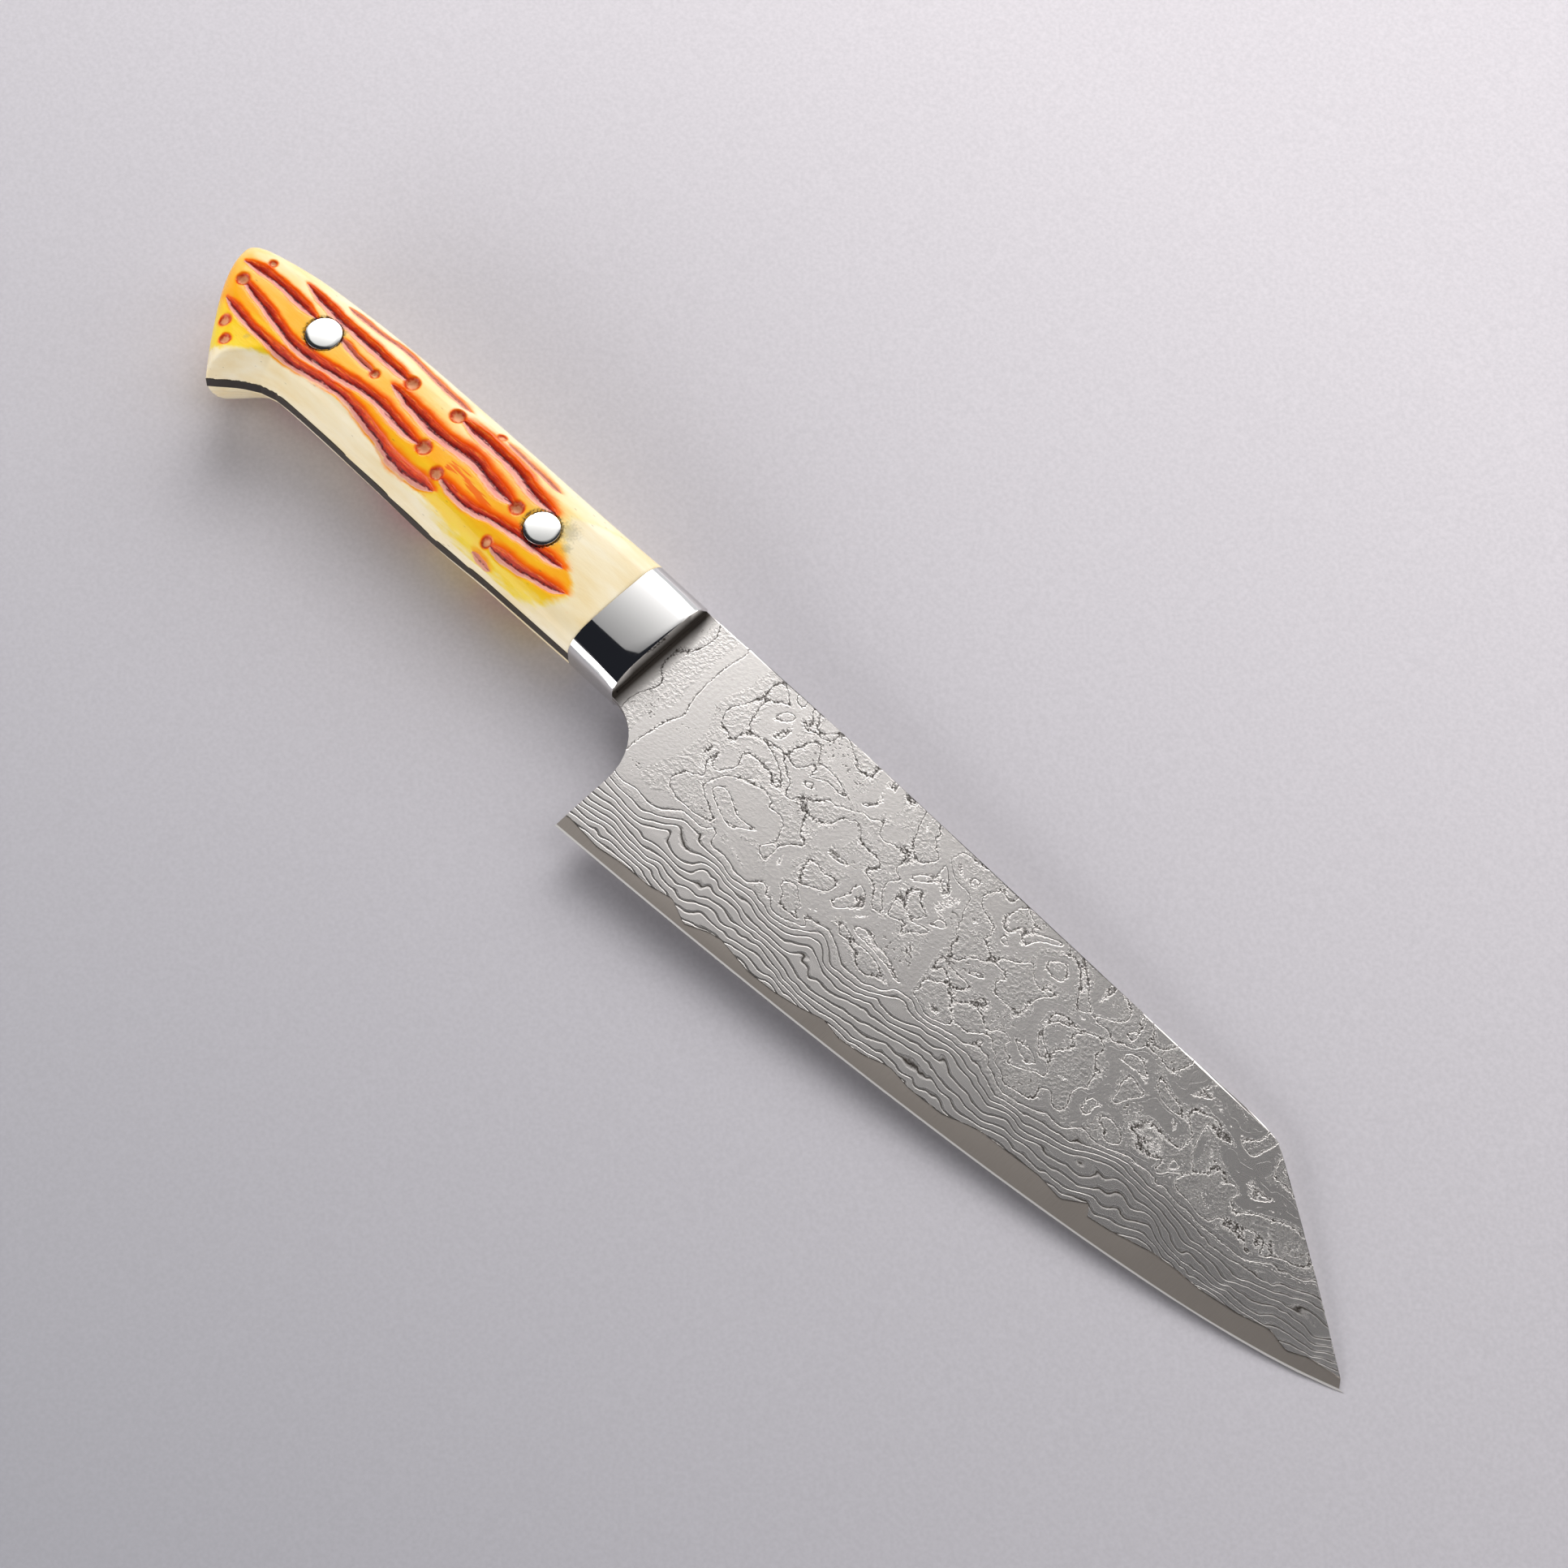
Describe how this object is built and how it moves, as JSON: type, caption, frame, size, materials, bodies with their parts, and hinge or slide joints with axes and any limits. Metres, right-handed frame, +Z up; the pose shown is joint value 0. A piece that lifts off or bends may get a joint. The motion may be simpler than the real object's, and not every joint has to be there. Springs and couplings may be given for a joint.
{
  "type": "kitchen knife",
  "caption": "Kitchen knife with a slanted reverse tanto tip, layered blade on a full tang, polished bolster and riveted, jigged bone handle scales.",
  "frame": {"origin": "centre of the knife's bounding box, at its bottom, as the knife lies on its left side", "axes": "+X from the butt to the point, +Y from the cutting edge to the spine, +Z up through the thickness, out of the right side"},
  "size_m": [0.2932, 0.0488, 0.0185],
  "materials": {
    "core_steel": "satin, finely brushed across the cutting edge",
    "patterned_steel": "etched layered steel with a raised grain, satin",
    "polished_steel": "mirror polished stainless steel",
    "rivet_steel": "polished stainless steel",
    "dyed_bone": "polished bone, jigged with carved grooves and dyed yellow, orange and red"
  },
  "bodies": {
    "root": {"blade_core_and_tang": "core_steel", "damascus_cladding_right": "patterned_steel", "damascus_cladding_left": "patterned_steel", "bolster_right": "polished_steel", "bolster_left": "polished_steel", "handle_scale_right": "dyed_bone", "handle_scale_left": "dyed_bone", "rivet_front_female": "rivet_steel", "rivet_front_male": "rivet_steel", "rivet_rear_female": "rivet_steel", "rivet_rear_male": "rivet_steel"}
  },
  "joints": []
}
